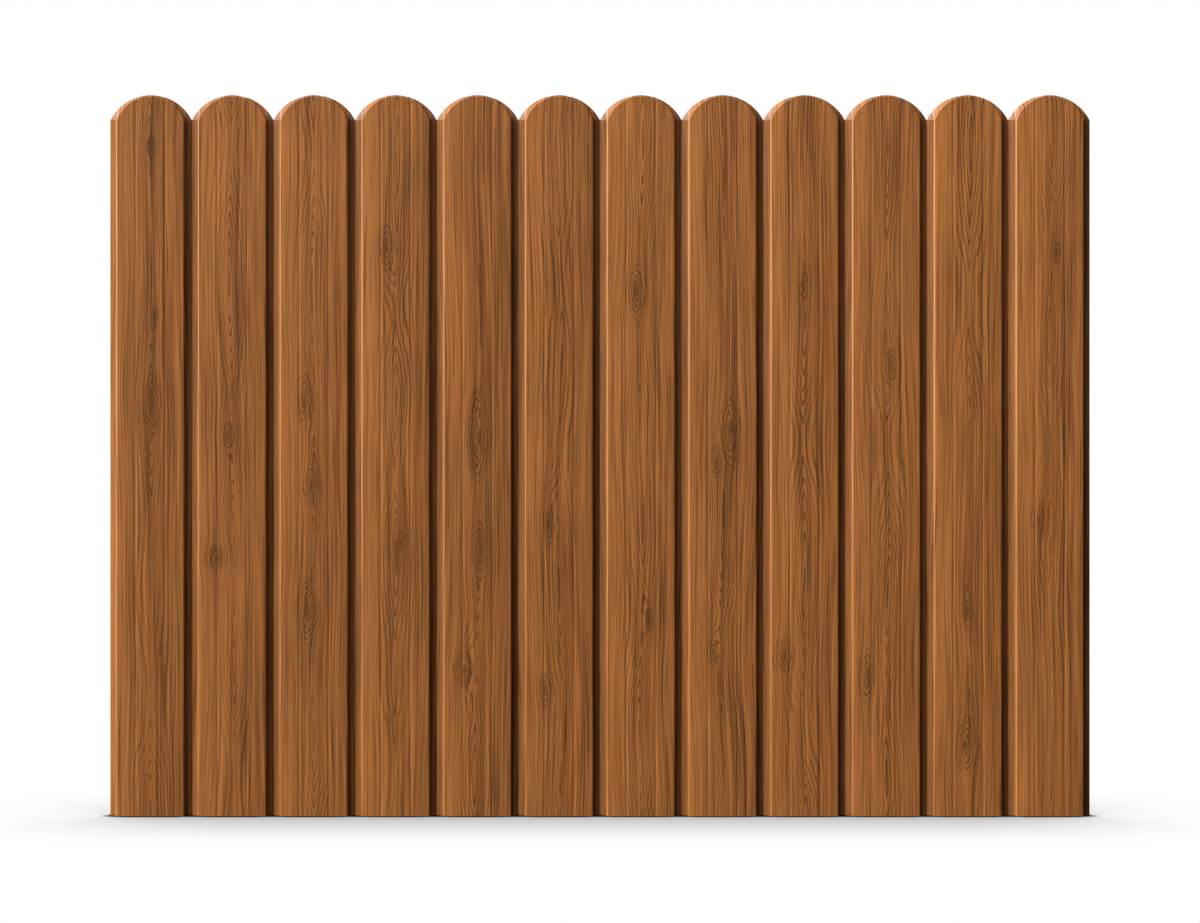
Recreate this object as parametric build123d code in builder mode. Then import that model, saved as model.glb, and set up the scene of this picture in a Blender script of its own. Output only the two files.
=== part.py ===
from build123d import *
import os

# Steel picket fence panel. X runs along the fence, Z is up and the printed front looks toward -Y.
# The origin is on the ground, midway along the panel and midway through its depth. Units are mm.

# Panel and pickets
picket_count = 12
picket_pitch = 125.0
picket_seam = 0.04
panel_height = 1103.0

# Picket cross-section, from the face back to the rails
sheet = 0.6
face_width = 103.4
bend_radius = 2.5
inner_bend = 0.9
wall_run = 2.0
wall_depth = 8.0
flange_drop = 3.5
fold_depth = 2.0
fold_radius = 0.9
lip_width = 26.0

# Arched head
arch_rise = 38.2
crown_run = 1.0
lip_top_trim = 12.0

# Stiffening grooves rolled along the face
groove_offset = 22.6
groove_radius = 5.5
groove_depth = 0.55
groove_top_trim = 12.0

# Tube rails
rail_height = 40.0
rail_depth = 20.0
rail_wall = 1.5
rail_corner = 3.0
rail_setback = 5.0
lower_rail_z = 200.0
upper_rail_z = 870.0

# Rail end caps
cap_plate = 2.5
cap_plug_length = 8.0
cap_plug_wall = 2.0
cap_clearance = 0.5

# Threaded inserts in the rear walls of the rails, for the bolts from the posts
insert_inset = 45.0
insert_bore = 8.0
insert_body = 11.0
insert_clearance = 0.1
insert_length = 14.0
insert_flange_diameter = 14.0
insert_flange = 1.5

# Sizes that follow from those above
panel_width = picket_pitch * picket_count
fold_half = (picket_pitch - picket_seam) / 2
face_half = face_width / 2
profile_depth = wall_depth + flange_drop + fold_depth
panel_depth = profile_depth + rail_depth + insert_flange
front_y = -panel_depth / 2
lip_y = front_y + profile_depth
rail_back_y = lip_y + rail_depth
rail_length = panel_width - 2 * rail_setback
rails = {"lower": lower_rail_z, "upper": upper_rail_z}
insert_places = [-rail_length / 2 + insert_inset, rail_length / 2 - insert_inset]

spring_z = panel_height - arch_rise

# Half of the sheet's section as (across, back) points: mid-face, crease, wall foot, fold, and the back of the lip
section = [
    Vector(0, 0),
    Vector(face_half, 0),
    Vector(face_half + wall_run, wall_depth),
    Vector(fold_half, wall_depth + flange_drop),
    Vector(fold_half, profile_depth),
]
below_ground = 20.0
groove_length = below_ground + panel_height - groove_top_trim

os.makedirs("parts", exist_ok=True)


def inside_corner(before, corner, after):
    """Inside corner of the sheet where two of its flats meet."""
    first = (corner - before).normalized()
    second = (after - corner).normalized()
    first_normal = Vector(-first.Y, first.X)
    second_normal = Vector(-second.Y, second.X)
    return corner + (first_normal + second_normal) * (sheet / (1 + first_normal.dot(second_normal)))


def depth_plane(back):
    """Upright plane at a distance behind the face, looking toward the rails."""
    return Plane((0, front_y + back, 0), (-1, 0, 0), (0, 1, 0))


def crown_height(back):
    """Top of the head at a distance behind the face. It leans back a little, as far as the fold."""
    return panel_height - crown_run * max(0.0, 1 - back / (wall_depth + flange_drop))


def outline(point, crown):
    """Picket at one depth: an arc over straight sides, which run on below the ground to be cut off level."""
    with BuildSketch(depth_plane(point.Y)) as drawn:
        with BuildLine():
            ThreePointArc((point.X, spring_z), (0, crown), (-point.X, spring_z))
            Polyline(
                (-point.X, spring_z), (-point.X, -below_ground), (point.X, -below_ground), (point.X, spring_z)
            )
        make_face()
    return drawn.sketch


def crease_edges(body):
    """Edges between the face and the walls, up one side, round the head and down the other."""
    face = body.faces().sort_by(Axis.Y)[0]
    return face.edges().filter_by(lambda edge: edge.center().Z > 0)


def groove_profiles(radius):
    """Ends of the two grooves, or of their backs, drawn below the ground."""
    with BuildSketch(Plane.XY.offset(-below_ground)) as drawn:
        with Locations(*[(side * groove_offset, front_y + groove_depth - groove_radius) for side in (-1, 1)]):
            Circle(radius)
    return drawn.sketch


# Space behind the sheet: the section moved in by the sheet's thickness, as far back as the lips
inside = [inside_corner(*section[corner - 1 : corner + 2]) for corner in (1, 2, 3)]
inside.append(Vector(fold_half - sheet, profile_depth - sheet))
with BuildPart() as hollow:
    loft([outline(point, crown_height(point.Y) - sheet) for point in inside], ruled=True)
    chamfer(crease_edges(hollow), inner_bend)
    extrude(groove_profiles(groove_radius + sheet), amount=groove_length, mode=Mode.SUBTRACT)

# Opening at the back of the arched head, which has no lips
lip_top_z = spring_z - lip_top_trim
with BuildPart() as head_opening:
    extrude(outline(inside[3], panel_height - sheet), amount=sheet)
    split(bisect_by=Plane.XY.offset(lip_top_z), keep=Keep.TOP)

# Picket: one sheet, rolled to section and pressed at the head, where walls and flanges run round the arch
with BuildPart() as picket:
    loft([outline(point, crown_height(point.Y)) for point in section[1:]], ruled=True)
    fillet(crease_edges(picket), bend_radius)
    fold_edges = picket.edges().filter_by(Axis.Z).filter_by(lambda edge: abs(edge.center().X) > fold_half - sheet)
    fillet(fold_edges.group_by(Axis.Y)[0], fold_radius)
    extrude(groove_profiles(groove_radius), amount=groove_length, mode=Mode.SUBTRACT)
    add(hollow.part, mode=Mode.SUBTRACT)
    add(head_opening.part, mode=Mode.SUBTRACT)

    # The lips turn in behind the picket and leave its middle open
    with BuildSketch(depth_plane(profile_depth)):
        with Locations((0, (lip_top_z - below_ground) / 2)):
            Rectangle(2 * (fold_half - lip_width), lip_top_z + below_ground)
    extrude(amount=-sheet, mode=Mode.SUBTRACT)
    split(bisect_by=Plane.XY, keep=Keep.TOP)

for index in range(picket_count):
    picket_x = (index - (picket_count - 1) / 2) * picket_pitch
    placed_picket = picket.part.moved(Location((picket_x, 0, 0)))
    placed_picket.label = f"picket_{index + 1:02d}"
    export_step(placed_picket, f"parts/picket_{index + 1:02d}.step")

for rail_name, rail_z in rails.items():
    # Rail: rectangular tube that the lips lie against, with its rear wall pierced for the inserts
    with BuildPart() as rail:
        with BuildSketch(Plane.YZ.offset(-rail_length / 2)):
            with Locations((lip_y + rail_depth / 2, rail_z)):
                RectangleRounded(rail_depth, rail_height, rail_corner)
                RectangleRounded(
                    rail_depth - 2 * rail_wall,
                    rail_height - 2 * rail_wall,
                    rail_corner - rail_wall,
                    mode=Mode.SUBTRACT,
                )
        extrude(amount=rail_length)
        with BuildSketch(Plane.XZ.offset(-rail_back_y)):
            with Locations(*[(x, rail_z) for x in insert_places]):
                Circle(insert_body / 2 + insert_clearance)
        extrude(amount=rail_wall, mode=Mode.SUBTRACT)
    rail.part.label = f"{rail_name}_rail"
    export_step(rail.part, f"parts/{rail_name}_rail.step")

    # End caps: a plate over the cut end of the tube and a hollow plug pushed into it
    for side_name, side in (("left", -1), ("right", 1)):
        rail_end = Plane((side * rail_length / 2, lip_y + rail_depth / 2, rail_z), (0, 1, 0), (side, 0, 0))
        plug_width = rail_depth - 2 * (rail_wall + cap_clearance)
        plug_height = rail_height - 2 * (rail_wall + cap_clearance)
        with BuildPart() as cap:
            with BuildSketch(rail_end):
                RectangleRounded(rail_depth, rail_height, rail_corner)
            extrude(amount=cap_plate)
            with BuildSketch(rail_end):
                Rectangle(plug_width, plug_height)
                Rectangle(plug_width - 2 * cap_plug_wall, plug_height - 2 * cap_plug_wall, mode=Mode.SUBTRACT)
            extrude(amount=-cap_plug_length)
        cap.part.label = f"{rail_name}_{side_name}_cap"
        export_step(cap.part, f"parts/{rail_name}_{side_name}_cap.step")

# Threaded inserts near both ends of both rails: a flange on the rear wall and a bored body through it
with BuildPart() as post_inserts:
    places = [(x, rail_z) for x in insert_places for rail_z in rails.values()]
    with BuildSketch(Plane.XZ.offset(-rail_back_y)):
        with Locations(*places):
            Circle(insert_flange_diameter / 2)
    extrude(amount=-insert_flange)
    with BuildSketch(Plane.XZ.offset(-rail_back_y)):
        with Locations(*places):
            Circle(insert_body / 2)
    extrude(amount=insert_length)
    with BuildSketch(Plane.XZ.offset(-rail_back_y - insert_flange)):
        with Locations(*places):
            Circle(insert_bore / 2)
    extrude(amount=insert_flange + insert_length, mode=Mode.SUBTRACT)
post_inserts.part.label = "post_inserts"
export_step(post_inserts.part, "parts/post_inserts.step")
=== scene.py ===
import math

import bmesh
import bpy
from mathutils import Matrix, Vector


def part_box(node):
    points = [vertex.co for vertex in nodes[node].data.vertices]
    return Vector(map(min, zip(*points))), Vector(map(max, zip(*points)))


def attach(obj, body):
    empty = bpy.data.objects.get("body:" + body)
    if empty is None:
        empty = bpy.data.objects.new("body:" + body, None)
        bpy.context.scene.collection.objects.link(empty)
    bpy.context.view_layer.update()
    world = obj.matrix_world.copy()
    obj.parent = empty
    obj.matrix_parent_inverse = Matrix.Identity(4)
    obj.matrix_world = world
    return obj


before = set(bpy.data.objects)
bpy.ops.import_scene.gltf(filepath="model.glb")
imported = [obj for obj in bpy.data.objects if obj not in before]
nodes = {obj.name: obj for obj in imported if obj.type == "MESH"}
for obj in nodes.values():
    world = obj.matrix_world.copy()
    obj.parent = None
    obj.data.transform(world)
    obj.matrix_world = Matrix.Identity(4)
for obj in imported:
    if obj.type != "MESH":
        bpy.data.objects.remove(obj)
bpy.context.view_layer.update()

# Tube rails
# Two rectangular steel tubes run the length of the panel behind the pickets and carry them.
# They are cut from welded tube and powder coated dark brown, which leaves a fine orange-peel skin.


def add_node(tree, kind, inputs, **settings):
    """New shader node with its settings, and with its inputs set to values or joined to other nodes."""
    made = tree.nodes.new(kind)
    for setting, value in settings.items():
        setattr(made, setting, value)
    for socket, value in inputs.items():
        if isinstance(value, bpy.types.NodeSocket):
            tree.links.new(value, made.inputs[socket])
        else:
            made.inputs[socket].default_value = value
    return made


def calc(tree, operation, *values):
    """Result of one sum on numbers or on other nodes' results."""
    return add_node(tree, "ShaderNodeMath", dict(enumerate(values)), operation=operation).outputs[0]


def ramp(tree, value, start, end, low=0.0, high=1.0):
    """Smooth step from low to high as the value goes from start to end."""
    inputs = {"Value": value, "From Min": start, "From Max": end, "To Min": low, "To Max": high}
    return add_node(tree, "ShaderNodeMapRange", inputs, interpolation_type="SMOOTHSTEP").outputs["Result"]


def blend_colours(tree, factor, *colours):
    """Colour between two, each of them a plain colour or one from another node."""
    first, second = [
        colour if isinstance(colour, bpy.types.NodeSocket) else (*colour, 1.0) for colour in colours
    ]
    return add_node(tree, "ShaderNodeMix", {0: factor, 6: first, 7: second}, data_type="RGBA").outputs[2]


def grain(tree, grain_size, seed=0.0, detail=2.0, roughness=0.5):
    """Noise from 0 to 1 on Object coordinates, with its grain's length along X, Y and Z given in metres."""
    place = add_node(tree, "ShaderNodeTexCoord", {}).outputs["Object"]
    scale = [1 / size for size in grain_size]
    inputs = {"Vector": place, "Location": (seed, seed, seed), "Scale": scale}
    spread = add_node(tree, "ShaderNodeMapping", inputs).outputs[0]
    inputs = {"Vector": spread, "Scale": 1.0, "Detail": detail, "Roughness": roughness}
    return add_node(tree, "ShaderNodeTexNoise", inputs).outputs["Fac"]


def new_finish(name, roughness, metallic=0.0, specular=0.5):
    """Material with one Principled shader, and that shader."""
    material = bpy.data.materials.new(name)
    material.use_nodes = True
    shader = material.node_tree.nodes["Principled BSDF"]
    shader.inputs["Roughness"].default_value = roughness
    shader.inputs["Metallic"].default_value = metallic
    shader.inputs["Specular IOR Level"].default_value = specular
    return material, shader


def raise_grain(tree, shader, height, strength, distance):
    """Fine relief on a finish, from a height between 0 and 1."""
    inputs = {"Height": height, "Strength": strength, "Distance": distance}
    bump = add_node(tree, "ShaderNodeBump", inputs)
    tree.links.new(bump.outputs["Normal"], shader.inputs["Normal"])


def paint(obj, *materials):
    """Gives an object these finishes in place of those it has."""
    obj.data.materials.clear()
    for material in materials:
        obj.data.materials.append(material)


rail_brown = (0.060, 0.034, 0.022)
rail_brown_worn = (0.085, 0.052, 0.036)
powder_cloud_size = (0.12, 0.12, 0.05)
powder_gloss_size = (0.05, 0.05, 0.02)
orange_peel_size = (0.0011, 0.0011, 0.0011)

powder_coat, powder_shader = new_finish("rail_powder_coat", roughness=0.42)
powder_tree = powder_coat.node_tree
powder_cloud = ramp(powder_tree, grain(powder_tree, powder_cloud_size, detail=4.0), 0.35, 0.75)
powder_colour = blend_colours(powder_tree, powder_cloud, rail_brown, rail_brown_worn)
powder_tree.links.new(powder_colour, powder_shader.inputs["Base Color"])
powder_gloss = ramp(powder_tree, grain(powder_tree, powder_gloss_size, seed=3.0), 0.3, 0.7, 0.36, 0.50)
powder_tree.links.new(powder_gloss, powder_shader.inputs["Roughness"])
orange_peel = grain(powder_tree, orange_peel_size)
raise_grain(powder_tree, powder_shader, orange_peel, strength=0.22, distance=0.0003)

for rail_name in ("lower_rail", "upper_rail"):
    paint(nodes[rail_name], powder_coat)

# Rail end caps
# Black polyethylene plugs close the cut ends of both rails and keep water out of the tube.
# They are injection moulded with a fine spark-eroded skin and are pushed in by hand.

cap_black = (0.014, 0.014, 0.015)
cap_scuff = (0.040, 0.040, 0.042)
cap_scuff_size = (0.004, 0.004, 0.010)
cap_skin_size = (0.0006, 0.0006, 0.0006)

cap_plastic, cap_shader = new_finish("cap_polyethylene", roughness=0.52, specular=0.4)
cap_tree = cap_plastic.node_tree
cap_wear = ramp(cap_tree, grain(cap_tree, cap_scuff_size, detail=5.0, roughness=0.65), 0.58, 0.78)
cap_colour = blend_colours(cap_tree, cap_wear, cap_black, cap_scuff)
cap_tree.links.new(cap_colour, cap_shader.inputs["Base Color"])
raise_grain(cap_tree, cap_shader, grain(cap_tree, cap_skin_size), strength=0.18, distance=0.0002)

for rail_name in ("lower", "upper"):
    for side_name in ("left", "right"):
        paint(nodes[f"{rail_name}_{side_name}_cap"], cap_plastic)

# Threaded inserts
# Steel blind-rivet nuts set in the rear walls of the rails take the bolts from the posts.
# They are turned and pressed, then zinc plated and passivated to a pale yellow with a faint rainbow.

zinc_yellow = (0.63, 0.47, 0.21)
zinc_rose = (0.60, 0.42, 0.34)
zinc_green = (0.48, 0.52, 0.30)
rainbow_size = (0.006, 0.006, 0.006)
turning_marks_size = (0.0003, 0.002, 0.0003)

yellow_zinc, insert_shader = new_finish("insert_yellow_zinc", roughness=0.30, metallic=1.0)
insert_tree = yellow_zinc.node_tree
rainbow = grain(insert_tree, rainbow_size, detail=3.0)
insert_colour = blend_colours(insert_tree, ramp(insert_tree, rainbow, 0.45, 0.62), zinc_yellow, zinc_rose)
insert_colour = blend_colours(insert_tree, ramp(insert_tree, rainbow, 0.50, 0.30), insert_colour, zinc_green)
insert_tree.links.new(insert_colour, insert_shader.inputs["Base Color"])
turning_marks = grain(insert_tree, turning_marks_size)
raise_grain(insert_tree, insert_shader, turning_marks, strength=0.08, distance=0.0001)
paint(nodes["post_inserts"], yellow_zinc)

# Insert threads
# The M8 threads inside the inserts, cut with a tap before plating.
# They are finer than the plain bores of the solids, so each is a ridge wound up the wall of its bore.

insert_flange_radius = 0.007
insert_bore_radius = 0.004
thread_pitch = 0.00125
thread_depth = 0.00065
thread_root = 0.00005
thread_crest = 0.00015
thread_steps = 24
sharp_angle = math.radians(35)


def make_piece(name, shape, finish):
    """Object from a finished bmesh, in one finish and smooth between its sharp edges."""
    mesh = bpy.data.meshes.new(name)
    shape.to_mesh(mesh)
    shape.free()
    piece = bpy.data.objects.new(name, mesh)
    bpy.context.scene.collection.objects.link(piece)
    paint(piece, finish)
    mesh.shade_smooth()
    mesh.set_sharp_from_angle(angle=sharp_angle)
    return piece


insert_low, insert_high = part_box("post_inserts")
thread_turns = int((insert_high.y - insert_low.y) / thread_pitch) - 1
thread_profile = [
    (insert_bore_radius + thread_root, 0.0),
    (insert_bore_radius - thread_depth, (thread_pitch - thread_crest) / 2),
    (insert_bore_radius - thread_depth, (thread_pitch + thread_crest) / 2),
    (insert_bore_radius + thread_root, thread_pitch),
]
threads = bmesh.new()
for x in (insert_low.x + insert_flange_radius, insert_high.x - insert_flange_radius):
    for z in (insert_low.z + insert_flange_radius, insert_high.z - insert_flange_radius):
        places = [(x + radius, insert_low.y + along, z) for radius, along in thread_profile]
        corners = [threads.verts.new(place) for place in places]
        ridge = [threads.edges.new(pair) for pair in zip(corners, corners[1:])]
        bmesh.ops.spin(
            threads,
            geom=[*corners, *ridge],
            cent=(x, insert_low.y, z),
            axis=(0, 1, 0),
            dvec=(0, thread_pitch / thread_steps, 0),
            angle=2 * math.pi * thread_turns,
            steps=thread_turns * thread_steps,
        )
bmesh.ops.recalc_face_normals(threads, faces=threads.faces)
insert_threads = make_piece("insert_threads", threads, yellow_zinc)
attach(insert_threads, "root")

# Pickets
# Each picket is one thin galvanised steel sheet, rolled to its section and pressed to an arch at the head.
# A walnut grain is printed on its outer side under a satin lacquer, the hollow side has a plain grey primer,
# and the cut edges show the bare zinc and steel.

picket_names = sorted(name for name in nodes if name.startswith("picket_"))
picket_low, picket_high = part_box(picket_names[0])
sheet_thickness = 0.0006
arch_rise = 0.0382
lip_top_trim = 0.012
lip_top = picket_high.z - arch_rise - lip_top_trim
lip_back = picket_high.y
lip_reach = 0.05
flange_depth = 0.0115
flange_fade = 0.001
flange_back = picket_low.y + flange_depth

# Knots of the printed grain in mm: across from the picket's centre line, up, half width and half height
grain_knots = {
    1: [(3, 630, 9, 38), (0, 1024, 5, 12), (5, 764, 4, 12)],
    2: [(-6, 581, 7, 16), (-22, 394, 11, 14)],
    3: [(-15, 635, 8, 30), (-4, 505, 9, 22), (-10, 314, 12, 38)],
    4: [(-14, 869, 8, 26), (9, 420, 5, 14)],
    5: [(0, 579, 12, 50), (4, 406, 9, 38), (-20, 222, 10, 20)],
    6: [(-15, 444, 6, 22), (-21, 192, 7, 22)],
    7: [(-7, 803, 10, 30), (12, 300, 5, 16)],
    8: [(-9, 541, 8, 18), (11, 588, 11, 42), (-14, 250, 6, 14)],
    9: [(0, 811, 5, 20), (-31, 245, 10, 22)],
    10: [(-29, 215, 8, 30), (8, 690, 6, 18)],
    11: [(-2, 314, 5, 14), (-2, 108, 10, 34)],
    12: [(-16, 452, 8, 24), (10, 860, 5, 16)],
}
knot_point = 1.4
knot_parting = 0.75
knot_ring_spacing = 2.9
knot_ring_tone = 0.38
knot_core_tone = -0.26
knot_core_sharpness = 0.7
knot_trail_tone = -0.12
knot_trail_fall_aside = 0.35
knot_trail_fall_along = 0.12

# Colours of the print, and the tone of each picket's print against the mean, as the printing drum leaves it
print_dark = (0.085, 0.0245, 0.0042)
print_light = (0.425, 0.157, 0.039)
print_grey = (0.094, 0.044, 0.013)
mean_tone = 0.62
picket_tones = [0.0, 0.03, 0.03, 0.02, -0.04, -0.04, 0.02, 0.0, -0.01, 0.0, 0.03, 0.0]
pattern_step = 7.31
mm_in_metre = 1000.0

# Streaks of the print as width and length in mm, with how far they shift the fibres in mm, or the tone
sway_streak, sway_shift = (120.0, 300.0), 18.0
ripple_streak, ripple_shift = (18.0, 90.0), 1.8
wander_streak, wander_shift = (20.0, 32.0), 13.0
uneven_streak, uneven_shift = (6.0, 34.0), 1.8
fibre_streak, fibre_tone = (2.1, 150.0), 1.40
strand_streak, strand_tone = (4.4, 420.0), 0.95
band_streak, band_tone = (15.0, 520.0), 0.50

# Pores, dark veins and light threads: streak, where in its noise the mark starts and is full, and its tone
fine_marks = [
    ((1.1, 13.0), 0.60, 0.72, -0.18),
    ((2.2, 240.0), 0.38, 0.30, -0.40),
    ((2.2, 380.0), 0.61, 0.68, 0.30),
]

# Growth rings, in mm
ring_spacing = 3.6
ring_fade_streak = (26.0, 220.0)
heart_width = 24.0
flame_streak = (900.0, 230.0)
flame_height = 24.0
flame_tip = 2.0

# Painted light and shade on the face, in mm from the centre line: a painted lighter left half, painted shade
# down the flanks and a painted highlight on the left crease
painted_left_light_edge = (-52.0, 12.0)
painted_left_light_tone = (0.18, -0.05)
# Painted shade down the flanks, strongest on the right
painted_shade_brown = (0.012, 0.004, 0.001)
right_flank_edge, right_flank_painted_shade = (51.5, 54.0), 0.5
left_flank_edge, left_flank_painted_shade = (-52.0, -56.0), 0.22
# Painted highlight along the left crease, stronger toward the head
crease_painted_highlight = (0.62, 0.32, 0.15)
crease_face_edge = (-50.0, -51.2)
crease_wall_edge = (-53.0, -51.8)
crease_highlight_height = (0.0, 1000.0)
crease_highlight_strength = (0.05, 0.6)


def streaks(tree, across, up, streak, seed, detail=2.0):
    """Noise from 0 to 1, drawn out along the picket to a streak's width and length."""
    width, length = streak
    inputs = {0: calc(tree, "DIVIDE", across, width), 1: calc(tree, "DIVIDE", up, length), 2: seed}
    place = add_node(tree, "ShaderNodeCombineXYZ", inputs).outputs[0]
    inputs = {"Vector": place, "Scale": 1.0, "Detail": detail}
    return add_node(tree, "ShaderNodeTexNoise", inputs).outputs["Fac"]


def drift(tree, noise, shift):
    """Noise from 0 to 1 as a shift to either side of none."""
    return calc(tree, "MULTIPLY_ADD", noise, shift, -0.5 * shift)


def late_wood_line(tree, turns, start, full, end):
    """Dark line of each growth ring, which deepens through the ring and breaks off at its end."""
    ring = calc(tree, "FRACT", turns)
    return calc(tree, "MULTIPLY", ramp(tree, ring, start, full), ramp(tree, ring, 1.0, end))


def grain_round_knots(tree, across, up, bent, ripple, seed, knots):
    """Fibres parted round the knots, and the knots' rings, dark cores, faint trails and nearness."""
    wander = drift(tree, streaks(tree, across, up, wander_streak, seed + 11), wander_shift)
    rings = 0.0
    cores = 0.0
    trails = 0.0
    nearness = 0.0
    for knot_across, knot_up, half_width, half_height in knots:
        # How far out a place lies: 1 is the edge of the knot, which is drawn to a point above and below
        aside = calc(tree, "SUBTRACT", calc(tree, "ADD", across, wander), knot_across)
        above = calc(tree, "DIVIDE", calc(tree, "SUBTRACT", up, knot_up), half_height)
        aside_part = calc(tree, "ABSOLUTE", calc(tree, "DIVIDE", aside, half_width))
        aside_part = calc(tree, "POWER", aside_part, knot_point)
        above_part = calc(tree, "POWER", above, 2.0)
        reach = calc(tree, "ADD", aside_part, above_part)

        # The fibres part round it
        parting = calc(tree, "EXPONENT", calc(tree, "MULTIPLY", reach, -0.5))
        nearness = calc(tree, "MAXIMUM", nearness, parting)
        bent = calc(tree, "MULTIPLY_ADD", aside, calc(tree, "MULTIPLY", parting, -knot_parting), bent)

        # Rings nested like an eye round a dark core, which leaves a faint trail along the grain
        turns = calc(tree, "MULTIPLY", calc(tree, "SQRT", reach), half_width / knot_ring_spacing)
        turns = calc(tree, "MULTIPLY_ADD", ripple, 0.5, turns)
        eye = late_wood_line(tree, turns, 0.40, 0.80, 0.88)
        eye = calc(tree, "MULTIPLY", eye, ramp(tree, reach, 2.8, 0.9))
        rings = calc(tree, "MAXIMUM", rings, eye)
        core = calc(tree, "EXPONENT", calc(tree, "MULTIPLY", reach, -knot_core_sharpness * half_width))
        cores = calc(tree, "ADD", cores, core)
        trail = calc(tree, "MULTIPLY", aside_part, -knot_trail_fall_aside)
        trail = calc(tree, "MULTIPLY_ADD", above_part, -knot_trail_fall_along, trail)
        trails = calc(tree, "MAXIMUM", trails, calc(tree, "EXPONENT", trail))
    return bent, rings, cores, trails, nearness


def growth_rings(tree, across, up, bent, trails, nearness, seed):
    """Late wood of the rings, straight at the sides and in flames along the heart, clear of the knots."""
    aside_square = calc(tree, "POWER", bent, 2.0)
    near_heart = calc(tree, "EXPONENT", calc(tree, "MULTIPLY", aside_square, -1 / heart_width**2))
    flame = streaks(tree, across, up, flame_streak, seed + 2, detail=0.0)
    flame = ramp(tree, flame, 0.2, 0.8, 0.0, flame_height)
    flame = calc(tree, "MULTIPLY", flame, calc(tree, "SUBTRACT", 1.0, trails))
    field = calc(tree, "SQRT", calc(tree, "ADD", aside_square, flame_tip**2))
    field = calc(tree, "MULTIPLY_ADD", flame, near_heart, field)
    unevenness = drift(tree, streaks(tree, across, up, uneven_streak, seed + 10), uneven_shift)
    field = calc(tree, "ADD", field, unevenness)
    line = late_wood_line(tree, calc(tree, "DIVIDE", field, ring_spacing), 0.50, 0.86, 0.93)
    strength = ramp(tree, streaks(tree, across, up, ring_fade_streak, seed + 3), 0.30, 0.70, 0.06, 0.34)
    strength = calc(tree, "MULTIPLY", strength, calc(tree, "MULTIPLY_ADD", near_heart, 0.7, 0.6))
    strength = calc(tree, "MULTIPLY", strength, calc(tree, "SUBTRACT", 1.0, nearness))
    return calc(tree, "MULTIPLY", line, strength)


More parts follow.
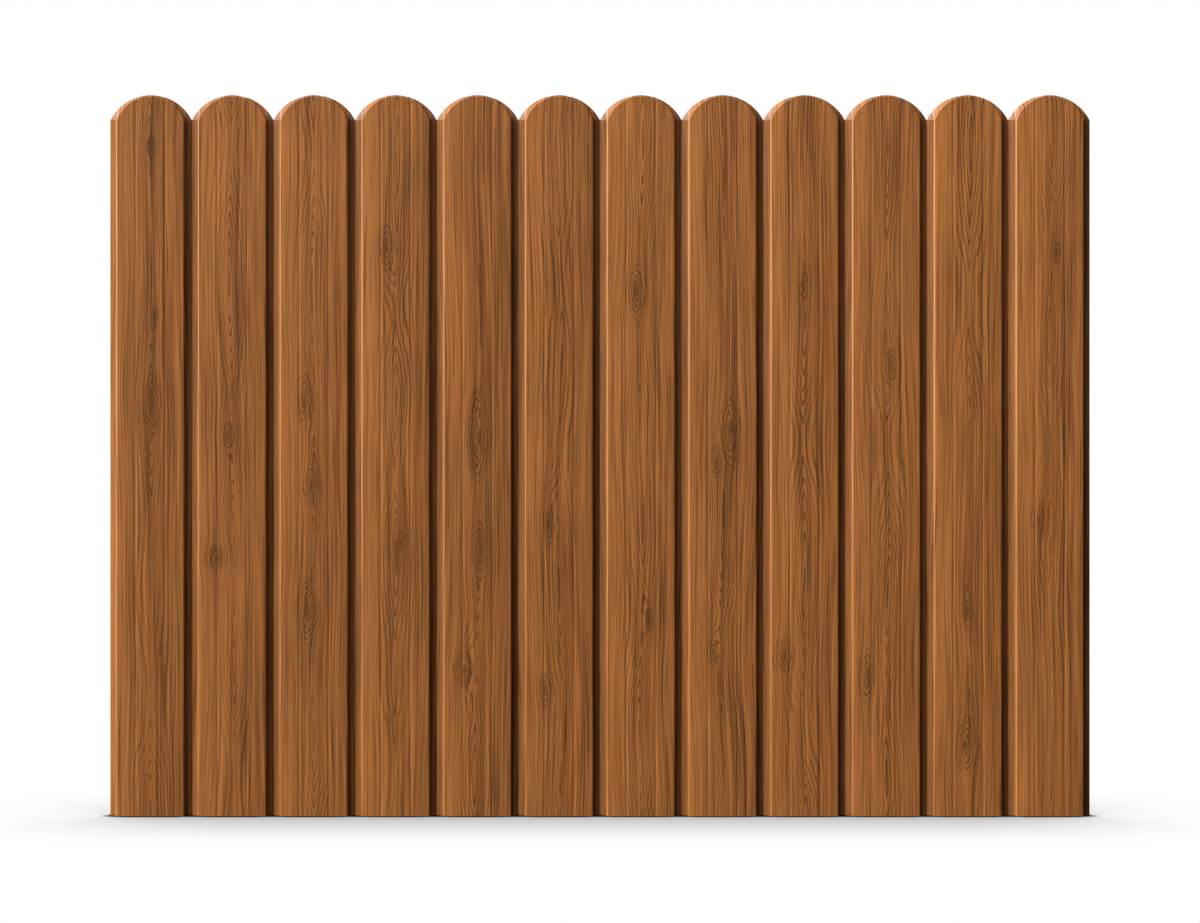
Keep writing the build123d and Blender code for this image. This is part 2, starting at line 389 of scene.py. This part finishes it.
def wood_print_and_painted_light(number, centre_x, tone_shift, knots):
    """Walnut grain of one picket: growth rings bent round its knots, with fibres, strands and pores, and
    painted light: a lighter left side, shade down the flanks and a highlight on the left crease.
    """
    material, shader = new_finish(f"picket_print_and_painted_light_{number:02d}", roughness=0.50, specular=0.26)
    shader.inputs["Coat Weight"].default_value = 0.18
    shader.inputs["Coat Roughness"].default_value = 0.22
    tree = material.node_tree
    seed = pattern_step * number
    place = add_node(tree, "ShaderNodeTexCoord", {}).outputs["Object"]
    place = add_node(tree, "ShaderNodeSeparateXYZ", {0: place})
    across = calc(tree, "MULTIPLY_ADD", place.outputs["X"], mm_in_metre, -mm_in_metre * centre_x)
    up = calc(tree, "MULTIPLY", place.outputs["Z"], mm_in_metre)

    # The fibres sway slowly up the picket with a finer ripple, and part round the knots
    sway = drift(tree, streaks(tree, across, up, sway_streak, seed, detail=0.0), sway_shift)
    ripple = drift(tree, streaks(tree, across, up, ripple_streak, seed + 1), ripple_shift)
    bent = calc(tree, "ADD", calc(tree, "ADD", across, sway), ripple)
    knot_grain = grain_round_knots(tree, across, up, bent, ripple, seed, knots)
    bent, knot_rings, knot_cores, knot_trails, near_knot = knot_grain
    late_wood = growth_rings(tree, across, up, bent, knot_trails, near_knot, seed)
    late_wood = calc(tree, "MULTIPLY_ADD", knot_rings, knot_ring_tone, late_wood)

    # Tone of the print: late wood and fine marks on fibres, strands and bands
    fibres = streaks(tree, bent, up, fibre_streak, seed + 4, detail=3.0)
    strands = streaks(tree, bent, up, strand_streak, seed + 5)
    bands = streaks(tree, bent, up, band_streak, seed + 6)
    tone = calc(tree, "SUBTRACT", mean_tone + tone_shift, late_wood)
    for layer, layer_tone in ((fibres, fibre_tone), (strands, strand_tone), (bands, band_tone)):
        tone = calc(tree, "ADD", tone, drift(tree, layer, layer_tone))
    for offset, (streak, start, full, mark_tone) in enumerate(fine_marks, start=7):
        mark = ramp(tree, streaks(tree, bent, up, streak, seed + offset), start, full)
        tone = calc(tree, "MULTIPLY_ADD", mark, mark_tone, tone)
    tone = calc(tree, "MULTIPLY_ADD", knot_cores, knot_core_tone, tone)
    tone = calc(tree, "MULTIPLY_ADD", knot_trails, knot_trail_tone, tone)
    # Painted light: the face is lighter toward its left side and a little darker on the right, as the light
    # falls from the left
    tone = calc(tree, "ADD", tone, ramp(tree, across, *painted_left_light_edge, *painted_left_light_tone))
    colour = blend_colours(tree, tone, print_dark, print_light)
    greyed = calc(tree, "MULTIPLY_ADD", knot_cores, 0.5, calc(tree, "MULTIPLY", late_wood, 1.2))
    colour = blend_colours(tree, greyed, colour, print_grey)

    # Painted shade: the flanks are darkened as far back as the flanges go, most of all on the right, which
    # faces away from the light
    right_painted_shade = ramp(tree, across, *right_flank_edge, 0.0, right_flank_painted_shade)
    left_painted_shade = ramp(tree, across, *left_flank_edge, 0.0, left_flank_painted_shade)
    before_lip = ramp(tree, place.outputs["Y"], flange_back, flange_back + flange_fade, 1.0, 0.0)
    painted_flank_shade = calc(tree, "MULTIPLY", calc(tree, "ADD", right_painted_shade, left_painted_shade), before_lip)
    colour = blend_colours(tree, painted_flank_shade, colour, painted_shade_brown)

    # Painted highlight: a pale line along the crease at the left of the face, where the light catches it,
    # stronger toward the head
    face_edge = ramp(tree, across, *crease_face_edge)
    wall_edge = ramp(tree, across, *crease_wall_edge)
    crease_highlight = calc(tree, "MULTIPLY", face_edge, wall_edge)
    crease_highlight = calc(tree, "MULTIPLY", crease_highlight, ramp(tree, up, *crease_highlight_height, *crease_highlight_strength))
    colour = blend_colours(tree, crease_highlight, colour, crease_painted_highlight)
    tree.links.new(colour, shader.inputs["Base Color"])
    tree.links.new(ramp(tree, fibres, 0.3, 0.7, 0.46, 0.36), shader.inputs["Roughness"])
    raise_grain(tree, shader, fibres, strength=0.10, distance=0.0003)
    return material


primer_grey = (0.36, 0.35, 0.32)
primer_thin = (0.46, 0.45, 0.42)
primer_roll_size = (0.004, 0.004, 0.30)
primer_skin_size = (0.0008, 0.0008, 0.004)

back_primer, primer_shader = new_finish("picket_back_primer", roughness=0.58)
primer_tree = back_primer.node_tree
primer_roll = ramp(primer_tree, grain(primer_tree, primer_roll_size, detail=4.0), 0.3, 0.7)
primer_colour = blend_colours(primer_tree, primer_roll, primer_grey, primer_thin)
primer_tree.links.new(primer_colour, primer_shader.inputs["Base Color"])
raise_grain(primer_tree, primer_shader, grain(primer_tree, primer_skin_size), strength=0.15, distance=0.0002)

edge_zinc = (0.50, 0.51, 0.52)
edge_dull = (0.30, 0.30, 0.31)
edge_cut_size = (0.003, 0.0003, 0.003)

cut_edge, edge_shader = new_finish("picket_cut_edge", roughness=0.45, metallic=0.9)
edge_tree = cut_edge.node_tree
edge_cut = ramp(edge_tree, grain(edge_tree, edge_cut_size, detail=4.0), 0.35, 0.65)
edge_colour = blend_colours(edge_tree, edge_cut, edge_zinc, edge_dull)
edge_tree.links.new(edge_colour, edge_shader.inputs["Base Color"])

outer_side, hollow_side, bare_edge = range(3)
square_on = 0.99
side_on = 0.1


def sheet_side(polygon, centre_x):
    """Which finish a face of a picket's sheet has, from where it lies and which way it looks."""
    aside = polygon.center.x - centre_x
    above_lip = max(0.0, polygon.center.z - lip_top)
    looks = polygon.normal
    in_lip = polygon.center.y > lip_back - 1.2 * sheet_thickness
    at_foot = polygon.center.z < 0.1 * sheet_thickness
    at_lip_edge = in_lip and abs(looks.x) > square_on and abs(aside) < lip_reach
    at_lip_top = in_lip and looks.z > square_on
    if at_foot or at_lip_edge or at_lip_top:
        return bare_edge
    if in_lip and looks.y > square_on:
        return bare_edge if above_lip else outer_side
    if in_lip and looks.y < -square_on:
        return hollow_side
    looks_inward = looks.x * aside + looks.z * above_lip < 0
    if looks.y > side_on or (looks.y > -side_on and looks_inward):
        return hollow_side
    return outer_side


for number, picket_name in enumerate(picket_names, start=1):
    picket = nodes[picket_name]
    low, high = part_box(picket_name)
    centre_x = (low.x + high.x) / 2
    picket_print_and_painted_light = wood_print_and_painted_light(number, centre_x, picket_tones[number - 1], grain_knots[number])
    paint(picket, picket_print_and_painted_light, back_primer, cut_edge)
    for polygon in picket.data.polygons:
        polygon.material_index = sheet_side(polygon, centre_x)

# Picket screws
# Zinc-plated self-drilling steel screws with low wafer heads and a cross recess, two a picket on each rail.
# They go in from behind, through both walls of the rail, and draw the picket's lips against it.

screw_head_radius = 0.00525
screw_head_height = 0.0022
screw_shank_radius = 0.0021
screw_reach = 0.006
screw_offset = 0.04335
screw_sides = 24
recess_length = 0.0024
recess_width = 0.0008
recess_depth = 0.00154
recess_taper = 0.55
recess_turn_per_metre = 1480.0
zinc_bright = (0.62, 0.64, 0.66)
zinc_dull = (0.46, 0.48, 0.52)
zinc_bloom_size = (0.003, 0.003, 0.003)
zinc_skin_size = (0.0004, 0.0004, 0.0004)

bright_zinc, zinc_shader = new_finish("screw_bright_zinc", roughness=0.28, metallic=1.0)
zinc_tree = bright_zinc.node_tree
zinc_bloom = ramp(zinc_tree, grain(zinc_tree, zinc_bloom_size, detail=3.0), 0.35, 0.7)
zinc_colour = blend_colours(zinc_tree, zinc_bloom, zinc_bright, zinc_dull)
zinc_tree.links.new(zinc_colour, zinc_shader.inputs["Base Color"])
raise_grain(zinc_tree, zinc_shader, grain(zinc_tree, zinc_skin_size), strength=0.06, distance=0.0001)


def ring_of_edges(shape, radius, height):
    """Closed ring of edges round the screw's axis at a height above the rail."""
    at_height = Matrix.Translation((0, 0, height))
    made = bmesh.ops.create_circle(shape, segments=screw_sides, radius=radius, matrix=at_height)
    return list({edge for vertex in made["verts"] for edge in vertex.link_edges})


def wafer_screw(rail_thickness):
    """One screw that stands on the rail's rear face at the origin, with its head toward +Z."""
    shape = bmesh.new()
    arm = recess_length
    half = recess_width / 2
    corners = [(half, arm), (half, half), (arm, half), (arm, -half), (half, -half), (half, -arm)]
    cross = [Vector((x, y, screw_head_height)) for x, y in corners]
    cross += [Vector((-x, -y, screw_head_height)) for x, y in corners]
    recess = shape.faces.new([shape.verts.new(corner) for corner in reversed(cross)])
    rim = list(recess.edges)
    floor_faces = bmesh.ops.extrude_discrete_faces(shape, faces=[recess])["faces"]
    floor_corners = [vertex for face in floor_faces for vertex in face.verts]
    bmesh.ops.scale(shape, vec=(recess_taper, recess_taper, 1), verts=floor_corners)
    bmesh.ops.translate(shape, vec=(0, 0, -recess_depth), verts=floor_corners)
    profile = [
        (0.66 * screw_head_radius, 0.92 * screw_head_height),
        (0.88 * screw_head_radius, 0.66 * screw_head_height),
        (screw_head_radius, 0.30 * screw_head_height),
        (screw_head_radius, 0.0),
        (screw_shank_radius, 0.0),
        (screw_shank_radius, -rail_thickness - screw_reach),
        (0.2 * screw_shank_radius, -rail_thickness - screw_reach - 2 * screw_shank_radius),
    ]
    rings = [ring_of_edges(shape, radius, height) for radius, height in profile]
    for first, second in zip([rim, *rings], rings):
        bmesh.ops.bridge_loops(shape, edges=[*first, *second])
    bmesh.ops.contextual_create(shape, geom=rings[-1])
    bmesh.ops.recalc_face_normals(shape, faces=shape.faces)
    return shape


for rail_name in ("lower", "upper"):
    rail_low, rail_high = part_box(f"{rail_name}_rail")
    rail_middle = (rail_low.z + rail_high.z) / 2
    group = bmesh.new()
    for picket_name in picket_names:
        low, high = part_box(picket_name)
        for side in (-1, 1):
            screw = wafer_screw(rail_high.y - rail_low.y)
            place = Vector(((low.x + high.x) / 2 + side * screw_offset, rail_high.y, rail_middle))
            turned = Matrix.Rotation(recess_turn_per_metre * place.x, 4, "Z")
            backward = Matrix.Rotation(math.radians(-90), 4, "X")
            screw.transform(Matrix.Translation(place) @ backward @ turned)
            screw_mesh = bpy.data.meshes.new("screw")
            screw.to_mesh(screw_mesh)
            screw.free()
            group.from_mesh(screw_mesh)
            bpy.data.meshes.remove(screw_mesh)
    screws = make_piece(f"{rail_name}_rail_screws", group, bright_zinc)
    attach(screws, "root")

# Studio
# A white floor that fades into a white background and keeps the soft shadow at the foot of the panel.
# One large soft key light stands to the upper left in front, a weaker one grazes the panel from the left,
# a third lights the back, and a long strip hangs over the top edge.

scene = bpy.context.scene
floor_half = 30.0
floor_mesh = bpy.data.meshes.new("floor")
floor_shape = bmesh.new()
bmesh.ops.create_grid(floor_shape, x_segments=1, y_segments=1, size=floor_half)
floor_shape.to_mesh(floor_mesh)
floor_shape.free()
floor = bpy.data.objects.new("floor", floor_mesh)
scene.collection.objects.link(floor)

# The floor glows plain white, less a painted soft shadow round the panel and a painted dark contact shadow
# where it stands, both from ambient occlusion
shadow_reach = 0.36
contact_reach = 0.025
floor_white = bpy.data.materials.new("floor_white")
floor_white.use_nodes = True
floor_tree = floor_white.node_tree
floor_tree.nodes.clear()
shadow = add_node(floor_tree, "ShaderNodeAmbientOcclusion", {"Distance": shadow_reach}, samples=8)
contact = add_node(floor_tree, "ShaderNodeAmbientOcclusion", {"Distance": contact_reach}, samples=8)
contact_light = ramp(floor_tree, contact.outputs["AO"], 0.78, 0.98)
floor_light = calc(floor_tree, "MULTIPLY", shadow.outputs["AO"], contact_light)
glow = add_node(floor_tree, "ShaderNodeEmission", {"Strength": floor_light})
add_node(floor_tree, "ShaderNodeOutputMaterial", {"Surface": glow.outputs[0]})
paint(floor, floor_white)
floor.visible_diffuse = False
floor.visible_glossy = False
floor.visible_shadow = False

# The background is white to the camera, and dim as light and in reflections
ambient_level = 0.015
mirrored_level = 0.06
mirrored_step = mirrored_level - ambient_level
world = bpy.data.worlds.new("studio")
scene.world = world
world.use_nodes = True
world_tree = world.node_tree
rays = add_node(world_tree, "ShaderNodeLightPath", {})
white = calc(world_tree, "MAXIMUM", rays.outputs["Is Camera Ray"], rays.outputs["Is Transmission Ray"])
dim = calc(world_tree, "MULTIPLY_ADD", rays.outputs["Is Glossy Ray"], mirrored_step, ambient_level)
background = world_tree.nodes["Background"]
world_tree.links.new(calc(world_tree, "MAXIMUM", dim, white), background.inputs["Strength"])
background.inputs["Color"].default_value = (1, 1, 1, 1)


def add_softbox(name, strength, spread, heading):
    """Lamp of a soft light that shines along a heading from far away, with its spread in degrees."""
    light = bpy.data.lights.new(name, "SUN")
    light.energy = strength
    light.angle = math.radians(spread)
    lamp = bpy.data.objects.new(name, light)
    lamp.rotation_euler = Vector(heading).to_track_quat("-Z", "Y").to_euler()
    scene.collection.objects.link(lamp)
    return lamp


add_softbox("key_softbox", 4.68, 46, (0.5417, 0.5417, -0.6428))
edge_lamp = add_softbox("edge_softbox", 3.4, 15, (0.9627, 0.0842, -0.2571))
edge_lamp.visible_glossy = False
add_softbox("back_softbox", 2.6, 28, (0, -1, -0.06))

strip = bpy.data.lights.new("top_strip", "AREA")
strip.shape = "RECTANGLE"
strip.size = 3.0
strip.size_y = 0.5
strip.energy = 12.0
strip_target = Vector((0, 0, 0.7))
strip_lamp = bpy.data.objects.new("top_strip", strip)
strip_lamp.location = (0, -1.2, 2.2)
strip_lamp.rotation_euler = (strip_target - strip_lamp.location).to_track_quat("-Z", "Y").to_euler()
scene.collection.objects.link(strip_lamp)

# Camera: level with the middle of the photograph and square to the panel, from about five metres
camera_height = 0.542
camera_distance = 4.936
photo_span = 1.8338
camera_data = bpy.data.cameras.new("camera")
camera_data.sensor_width = 36.0
camera_data.lens = camera_data.sensor_width * camera_distance / photo_span
camera = bpy.data.objects.new("camera", camera_data)
camera.location = (0, picket_low.y - camera_distance, camera_height)
camera.rotation_euler = (math.radians(90), 0, 0)
scene.collection.objects.link(camera)
scene.camera = camera
scene.view_settings.view_transform = "Standard"
